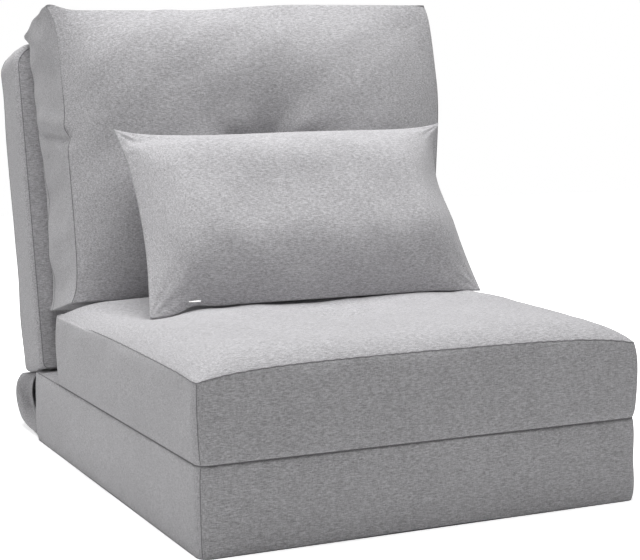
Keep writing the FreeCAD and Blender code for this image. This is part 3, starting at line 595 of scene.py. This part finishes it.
params, faces = box_grid(60 * DENSE, 14 * DENSE, 60 * DENSE)
back = make_mesh("backrest_mattress", back_shape(params), faces)
finish_piece(back, "backrest", cloth_leaning, ("back_cover", "back_foam"))

# Dark seam lines: thread, and painted shade of the seam's groove
for level, tag in ((-1, "front"), (0.56, "rear")):
    line = tube("backrest_seam_%s" % tag, back_loop(level), 0.0007)
    finish_piece(line, "backrest", thread_and_groove_shade)


# Back cushion
# Its running numbers go from side to side, up its height and from its rear seam to its front.

CUSHION_TUFT = (0.011, -0.014)
REAR_ROUND = 0.014
REAR_ROUND_SHARE = 0.16


def cushion_world(x, up, thick):
    """From the cushion's own frame: it stands on the backrest's front face, turned a little."""
    share = np.clip(thick / CUSHION_DEEP, 0, 1)
    clearance = 0.0003
    deep = -clearance - thick - share * (x + CUSHION_HALF) * math.tan(CUSHION_TURN)
    return back_world(x + CUSHION_X, deep, CUSHION_RISE + CUSHION_TALL + up)


def cushion_tuft(away, angle):
    """The sewn dent with the folds that run into it."""
    dent = 0.036 * np.exp(-((away / 0.050) ** 1.2)) + 0.010 * bump(away, 0, 0.15)
    folds = np.sin(angle * 5 + 0.6 + 1.2 * np.sin(2 * angle)) * bump(away, 0.065, 0.04)
    return dent + 0.0038 * folds


def cushion_shape(params):
    u, v, w = params.T
    front = on_face(w)
    share = (w + 1) / 2
    to_side = np.clip(CUSHION_HALF * (1 - np.abs(u)), 0, None)
    to_end = np.clip(CUSHION_TALL * (1 - np.abs(v)), 0, None)

    # The sides pull in between the ears, the right one less and fuller above.
    ear_x = 1 - near(to_end, 0.020) * 0.8 - 0.2 * np.abs(v) ** 3
    ear_y = 1 - bump(to_side, 0, 0.026) + 0.25 * near(to_side, 0.005)
    right_pull = 1.5 - 2.05 * smooth_step(v, -0.65, 0.45)
    pull = np.where(u > 0, right_pull, 0.85 + 0.15 * share)
    x = u * (CUSHION_HALF - 0.015 * ear_x * pull)
    dip = 0.012 - 0.011 * smooth_step(x, -0.12, 0.10)
    y = v * CUSHION_TALL - np.where(v > 0, dip, 0.0) * ear_y * np.abs(v) ** 6
    t = CUSHION_DEEP * share

    # The rear face is flat on the backrest, with rounded rims.
    rim = np.clip((REAR_ROUND_SHARE - share) / REAR_ROUND_SHARE, 0, 1)
    draw = REAR_ROUND * quarter_round(rim)
    near_ear = near(np.hypot(to_side, to_end), 0.06) * (v > 0) * (u < 0)
    x = x - np.sign(u) * draw * np.abs(u) ** 6 * (1 - 0.8 * near_ear)
    y = y - np.sign(v) * draw * np.abs(v) ** 6 * (1 - 0.5 * near_ear)
    y = y - 0.006 * near_ear * (1 - share)

    # The boxing bulges between its two seams.
    left_bulge = 0.005 + 0.006 * smooth_step(y, -0.05, 0.12)
    side_face = near(to_side, 0.01)
    end_face = near(to_end, 0.01)
    side_bulge = np.where(u > 0, 0.012, left_bulge) * belly(w, 0.8)
    end_bulge = np.where(v > 0, 0.006, -0.001) * belly(w, 0.8)
    x = x + np.sign(u) * side_bulge * side_face * (1 - np.abs(v) ** 8)
    y = y + end_bulge * end_face * (1 - np.abs(u) ** 8)

    t = t + front * CUSHION_CROWN * swell(to_side, 0.19) * swell(to_end, 0.17)
    tuft_x = x - CUSHION_TUFT[0]
    tuft_y = y - CUSHION_TUFT[1]
    angle = np.arctan2(tuft_y, tuft_x)
    t = t - front * cushion_tuft(np.hypot(tuft_x, tuft_y), angle)

    # Slack cloth: long soft waves on the front and on the boxing
    flat = np.stack([x, y, t], 1)
    slack = 0.0030 * ripple(flat, 0.24, 71) + 0.0012 * ripple(flat, 0.09, 72)
    t = t + front * slack * smooth_step(np.minimum(to_side, to_end), 0, 0.05)
    wave = 0.0030 * ripple(flat * [1, 1, 0.4], 0.13, 73) + 0.0013 * ripple(flat, 0.05, 74)
    between = smooth_step(1 - np.abs(w), 0, 0.35)
    x = x + np.sign(u) * side_face * wave * between
    y = y + np.sign(v) * end_face * wave * between * np.where(v > 0, 1.0, 0.2)

    # The crease where the left boxing folds
    line = y - 0.036 - (0.35 - 0.5 * share) * 0.10
    crease = bump(line, 0.0, 0.010) - 0.55 * bump(line, 0.022, 0.014)
    x = x + np.where(u < 0, 0.0055, 0.0) * side_face * crease * np.clip(share * 2, 0, 1)

    # Puckered ears
    corner = near(np.hypot(to_side, to_end), 0.022)
    pucker = np.sin(angle * 34) * corner * 0.0009
    t = t + front * (pucker - 0.004 * corner)
    return cushion_world(x, y, t)


params, faces = box_grid(70 * DENSE, 54 * DENSE, 18 * DENSE)
cushion = make_mesh("back_cushion", cushion_shape(params), faces)
finish_piece(cushion, "back_cushion", cloth_leaning, ("cushion_cover", "cushion_fill"))

for level, tag in ((1, "front"), (-0.7, "rear")):
    loop = seam_loop(cushion_shape, level, 150)
    # The dark seam lines, thread and painted shade of the groove, show on the lower half and sink
    # between the cloth above.
    height = (loop[:, 2] - loop[:, 2].min()) / np.ptp(loop[:, 2])
    radius = SEAM_LINE_RADIUS - 0.00045 * smooth_step(height, 0.62, 0.78)
    line = tube("back_cushion_seam_%s" % tag, loop, radius)
    finish_piece(line, "back_cushion", thread_and_groove_shade)


# Lumbar pillow
# Its running numbers go from side to side, up its height and from its rear half to its front.

PILLOW_UP = np.array([0, math.sin(PILLOW_LEAN), math.cos(PILLOW_LEAN)])
PILLOW_OUT = np.array([0, -math.cos(PILLOW_LEAN), math.sin(PILLOW_LEAN)])
PILLOW_MIDDLE = np.array(PILLOW_ZIP) - PILLOW_UP * (ZIP_FROM_EDGE - PILLOW_TALL)
HALF_SEAM = 0.0012


def pillow_world(x, up, out):
    return PILLOW_MIDDLE + np.outer(x, [1, 0, 0]) + np.outer(up, PILLOW_UP) + np.outer(out, PILLOW_OUT)


def pillow_shape(params):
    u, v, w = params.T
    to_side = PILLOW_HALF * (1 - np.abs(u))
    to_end = PILLOW_TALL * (1 - np.abs(v))
    to_seam = np.minimum(to_side, to_end)

    # The outline pulls in between the ears and leans a little.
    side_pull = np.where(u > 0, 0.014 + 0.011 * smooth_step(v, -0.3, 0.3), 0.017)
    x = u * (PILLOW_HALF - side_pull * (1 - np.abs(v) ** 2.2))
    x = x + v * np.where(u > 0, 0.009, 0.006) * np.abs(u)
    x = x + 0.010 * bump(v, 1, 0.16) * (u > 0) * np.abs(u) ** 8
    high_drop = 0.007 + 0.012 * full_edge(to_side, 0.03)
    high_drop = high_drop + 0.0045 * bump(x, -0.13, 0.12)
    low_rise = 0.0075 * bump(x, -0.219, 0.024)
    y = v * PILLOW_TALL - np.where(v > 0, high_drop, -low_rise) * np.abs(v) ** 3

    # Filled out between the seams, with soft waves
    out = PILLOW_SWELL * swell(to_side, 0.105, 2.3) * swell(to_end, 0.120, 2.2)
    flat = np.stack([x, y, out * w], 1)
    out = out + 0.0022 * ripple(flat, 0.19, 91) * smooth_step(to_seam, 0, 0.05)
    out = out + 0.0009 * ripple(flat, 0.07, 92) * smooth_step(to_seam, 0, 0.03)

    # Folds that run into the ears, one long fold by the upper left ear, and puckered seams
    corner = near(np.hypot(to_side, to_end), 0.05)
    angle = np.arctan2(to_end, to_side)
    out = out + corner * 0.0016 * np.sin(angle * 11 + 0.7) * smooth_step(to_seam, 0, 0.012)
    in_x = x + PILLOW_HALF
    in_y = PILLOW_TALL - y
    fold = bump(in_y - 0.032 - 0.15 * in_x, 0, 0.011) * bump(in_x, 0.05, 0.04)
    out = out - 0.0050 * fold * (w > 0)
    pucker = np.sin((x + y * 1.3) * 2 * math.pi / 0.021 + 2 * ripple(flat, 0.06, 93))
    out = out + 0.0006 * pucker * near(to_seam, 0.012) * smooth_step(to_seam, 0, 0.006)
    out = np.maximum(out, 0.0) + HALF_SEAM

    # The lower ears sag onto the seat.
    left_ear = 0.015 * bump(x, -0.29, 0.07)
    right_ear = 0.006 * bump(x, 0.29, 0.06)
    y = y - near(to_end, 0.035) * (v < 0) * (left_ear + right_ear)
    return pillow_world(x, y, out * w)


params, faces = box_grid(66 * DENSE, 42 * DENSE, 1, 0.6)
pillow = make_mesh("lumbar_pillow", pillow_shape(params), faces)
finish_piece(pillow, "lumbar_pillow", cloth_pillow, ("pillow_cover", "pillow_fill"))


# Rear gusset: loose cloth between the backrest's foot and the base's rear

GUSSET_HALF = 0.327
# Its line in a view from the side, as depth and height, from the backrest's foot to the base
GUSSET_PATH = (
    (0.4700, 0.1030),
    (0.500, 0.1005),
    (0.532, 0.088),
    (0.553, 0.066),
    (0.552, 0.048),
    (0.538, 0.030),
    (0.516, 0.015),
    (0.490, 0.0080),
    (0.465, 0.0070),
    (0.440, 0.0060),
    (0.4125, 0.0045),
)
GUSSET_MIDDLE = (0.482, 0.058)
GUSSET_TURN = 0.032
GUSSET_ROWS = 44
TUCK_COLUMNS = 9
TUCK_SHARE = 0.62
HALF_SHEET = 0.0007
ABOVE_FLOOR = 0.0012


def along_path(path, count):
    """Evenly spaced, softened points along a line, and the line's length."""
    path = np.array(path)
    steps = np.linalg.norm(np.diff(path, axis=0), axis=1)
    chords = np.concatenate([[0], np.cumsum(steps)])
    spots = np.linspace(0, chords[-1], count)
    line = np.stack([np.interp(spots, chords, path[:, k]) for k in range(2)], 1)
    for _ in range(6):
        line[1:-1] = (line[:-2] + 2 * line[1:-1] + line[2:]) / 4
    return line, chords[-1]


def sheet_faces(rows, columns):
    """Faces of two equal grids of points, one behind the other, closed along their rim."""
    count = rows * columns
    faces = []
    for i in range(rows - 1):
        for j in range(columns - 1):
            a = i * columns + j
            quad = (a, a + 1, a + columns + 1, a + columns)
            faces.append(quad)
            faces.append(tuple(count + q for q in reversed(quad)))
    rim = list(range(columns))
    rim += [i * columns + columns - 1 for i in range(1, rows)]
    rim += [(rows - 1) * columns + j for j in range(columns - 2, -1, -1)]
    rim += [i * columns for i in range(rows - 2, 0, -1)]
    for a, b in zip(rim, rim[1:] + rim[:1]):
        faces.append((b, a, count + a, count + b))
    return faces


def make_gusset():
    """The gathered sheet with its side ends tucked in, and its length along its line."""
    line, length = along_path(GUSSET_PATH, GUSSET_ROWS)
    ahead = np.gradient(line, axis=0)
    ahead /= np.linalg.norm(ahead, axis=1, keepdims=True)
    normal = np.stack([-ahead[:, 1], ahead[:, 0]], 1)
    straight = np.linspace(-GUSSET_HALF, GUSSET_HALF, 90 * DENSE)
    end = np.full(TUCK_COLUMNS, GUSSET_HALF)
    xs = np.concatenate([-end, straight, end])
    inward = np.linspace(0, 1, TUCK_COLUMNS + 1)[1:]
    tucked = np.concatenate([inward[::-1], np.zeros(len(straight)), inward])
    columns = len(xs)
    share = np.linspace(0, 1, GUSSET_ROWS)
    free = np.sin(math.pi * share) ** 0.7
    calm = 1 - 0.5 * near(GUSSET_HALF - np.abs(xs), 0.030)
    sheets = []
    for side in (1, -1):
        points = np.zeros((GUSSET_ROWS, columns, 3))
        for i in range(GUSSET_ROWS):
            flat = np.stack([xs, np.full(columns, line[i, 0]), np.full(columns, line[i, 1])], 1)
            fold = 0.0060 * ripple(flat * [1, 0.6, 0.6], 0.12, 111)
            fold = fold + 0.0012 * ripple(flat, 0.05, 112)
            shift = free[i] * fold * calm * (1 - tucked) + side * HALF_SHEET * (tucked < 0.001)
            y = line[i, 0] - normal[i, 0] * shift
            z = line[i, 1] - normal[i, 1] * shift
            y = y + (GUSSET_MIDDLE[0] - y) * TUCK_SHARE * tucked * free[i]
            z = z + (GUSSET_MIDDLE[1] - z) * TUCK_SHARE * tucked * free[i]
            ridge = 0.010 * np.sin(tucked * 5.2 + 2.5 * share[i]) * np.sin(math.pi * tucked)
            depth = GUSSET_TURN * 0.55 * tucked ** 1.5 - ridge * free[i]
            depth = depth - side * HALF_SHEET * (tucked > 0.001)
            points[i, :, 0] = xs - np.sign(xs) * np.maximum(depth, -0.004)
            points[i, :, 1] = y
            points[i, :, 2] = np.maximum(z, ABOVE_FLOOR)
        sheets.append(points.reshape(-1, 3))
    faces = sheet_faces(GUSSET_ROWS, columns)
    return make_mesh("rear_gusset_cloth", np.concatenate(sheets), faces), length


gusset, gusset_length = make_gusset()
finish_piece(gusset, "base", cloth, ("rear_gusset",))
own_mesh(gusset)


# Finishes of the pieces that keep their plain form

FINISHES = {
    "base_lining": lining_cloth,
    "front_hinge_strip": cloth,
    "base_frame_tube": steel,
    "base_cross_tube": steel,
    "back_frame_tube": steel,
    "back_cross_tubes": steel,
    "left_hinge_plate": zinc,
    "right_hinge_plate": zinc,
    "left_hinge_arm": zinc,
    "right_hinge_arm": zinc,
    "pivot_rivets": zinc,
    "base_plate_screws": zinc,
    "back_arm_screws": zinc,
    "back_straps": webbing,
    "seat_tuft_tie": twine,
    "cushion_tuft_tie": twine,
    "pillow_zip_tape": tape_cloth,
    "pillow_zip_chain": nylon,
    "zip_slider": zip_paint,
    "zip_pull": zip_paint,
}
for node, material in FINISHES.items():
    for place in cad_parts[node].material_slots:
        place.link = "OBJECT"
        place.material = material


# Floor and backdrop

WHITE = (1, 1, 1, 1)
FLOOR_HALF = 6
FLOOR_LEVEL = -0.0005


def seen_directly(nodes, links):
    """1 where the camera, a mirror or a glass looks, 0 for the light that falls on things."""
    path = nodes.new("ShaderNodeLightPath")
    seen = math_node(
        nodes, links, "MAXIMUM", path.outputs["Is Camera Ray"], path.outputs["Is Glossy Ray"]
    )
    return math_node(nodes, links, "MAXIMUM", seen, path.outputs["Is Transmission Ray"])


def floor_material():
    """Pale floor that keeps the object's shadow and fades to white away from it."""
    material, nodes, links, shader = new_material("pale_floor")
    shader.inputs["Base Color"].default_value = (0.75, 0.75, 0.75, 1)
    shader.inputs["Roughness"].default_value = 0.9
    output = [n for n in nodes if n.type == "OUTPUT_MATERIAL"][0]
    length = nodes.new("ShaderNodeVectorMath")
    length.operation = "LENGTH"
    links.new(nodes.new("ShaderNodeTexCoord").outputs["Object"], length.inputs[0])
    glow = nodes.new("ShaderNodeMapRange")
    glow.interpolation_type = "SMOOTHSTEP"
    glow.inputs["From Min"].default_value = 0.35
    glow.inputs["From Max"].default_value = 1.3
    glow.inputs["To Min"].default_value = 0.62
    glow.inputs["To Max"].default_value = 1.0
    links.new(length.outputs["Value"], glow.inputs["Value"])
    white = nodes.new("ShaderNodeEmission")
    white.inputs["Color"].default_value = WHITE
    strength = math_node(
        nodes, links, "MULTIPLY", seen_directly(nodes, links), glow.outputs["Result"]
    )
    links.new(strength, white.inputs["Strength"])
    both = nodes.new("ShaderNodeAddShader")
    links.new(shader.outputs["BSDF"], both.inputs[0])
    links.new(white.outputs["Emission"], both.inputs[1])
    links.new(both.outputs["Shader"], output.inputs["Surface"])
    return material


def background(nodes, strength):
    node = nodes.new("ShaderNodeBackground")
    node.inputs["Color"].default_value = WHITE
    node.inputs["Strength"].default_value = strength
    return node.outputs["Background"]


def studio_world():
    """White where it is looked at, with only a weak even light on the object."""
    world = bpy.data.worlds.new("studio")
    bpy.context.scene.world = world
    world.use_nodes = True
    nodes, links = world.node_tree.nodes, world.node_tree.links
    nodes.clear()
    output = nodes.new("ShaderNodeOutputWorld")
    mix = nodes.new("ShaderNodeMixShader")
    links.new(seen_directly(nodes, links), mix.inputs[0])
    links.new(background(nodes, 0.04), mix.inputs[1])
    links.new(background(nodes, 1.0), mix.inputs[2])
    links.new(mix.outputs["Shader"], output.inputs["Surface"])


corners = ((-1, -1), (1, -1), (1, 1), (-1, 1))
floor_points = [(FLOOR_HALF * x, FLOOR_HALF * y, FLOOR_LEVEL) for x, y in corners]
floor = make_mesh("floor", floor_points, [(0, 1, 2, 3)], smooth=False)
floor.data.materials.append(floor_material())
studio_world()


# Lamps: name, place, the point it shines at, width of its square and power

LAMPS = (
    ("overhead", (-0.1, 0.0, 3.2), (0, 0, 0.3), 2.4, 115),
    ("left_fill", (-3.3, 0.6, 0.9), (0, 0, 0.3), 1.6, 17),
    ("front_fill", (0.9, -3.6, 0.7), (0, 0, 0.2), 1.6, 7),
)
for name, place, target, size, power in LAMPS:
    light = bpy.data.lights.new(name, "AREA")
    light.shape = "SQUARE"
    light.size = size
    light.energy = power
    lamp = bpy.data.objects.new(name, light)
    bpy.context.scene.collection.objects.link(lamp)
    lamp.location = place
    way = Vector(target) - Vector(place)
    lamp.rotation_euler = way.to_track_quat("-Z", "Y").to_euler()


# Camera: where it stands and how it is turned, in degrees

CAMERA_PLACE = (-0.97405, -2.18145, 0.56260)
CAMERA_AZIMUTH = -24.6
CAMERA_ELEVATION = 6.4
CAMERA_ROLL = -0.7
CAMERA_LENS = 86.995


def camera_matrix():
    azimuth, elevation, roll = map(math.radians, (CAMERA_AZIMUTH, CAMERA_ELEVATION, CAMERA_ROLL))
    level = math.cos(elevation)
    back_way = Vector((math.sin(azimuth) * level, -math.cos(azimuth) * level, math.sin(elevation)))
    right_way = Vector((math.cos(azimuth), math.sin(azimuth), 0))
    up_way = back_way.cross(right_way)
    right_rolled = right_way * math.cos(roll) + up_way * math.sin(roll)
    up_rolled = up_way * math.cos(roll) - right_way * math.sin(roll)
    turn = Matrix((right_rolled, up_rolled, back_way)).transposed()
    return Matrix.Translation(CAMERA_PLACE) @ turn.to_4x4()


camera_data = bpy.data.cameras.new("camera")
camera_data.sensor_width = 36
camera_data.sensor_fit = "HORIZONTAL"
camera_data.lens = CAMERA_LENS
camera_data.clip_end = 50
camera = bpy.data.objects.new("camera", camera_data)
bpy.context.scene.collection.objects.link(camera)
camera.matrix_world = camera_matrix()
bpy.context.scene.camera = camera
bpy.context.scene.view_settings.view_transform = "Standard"
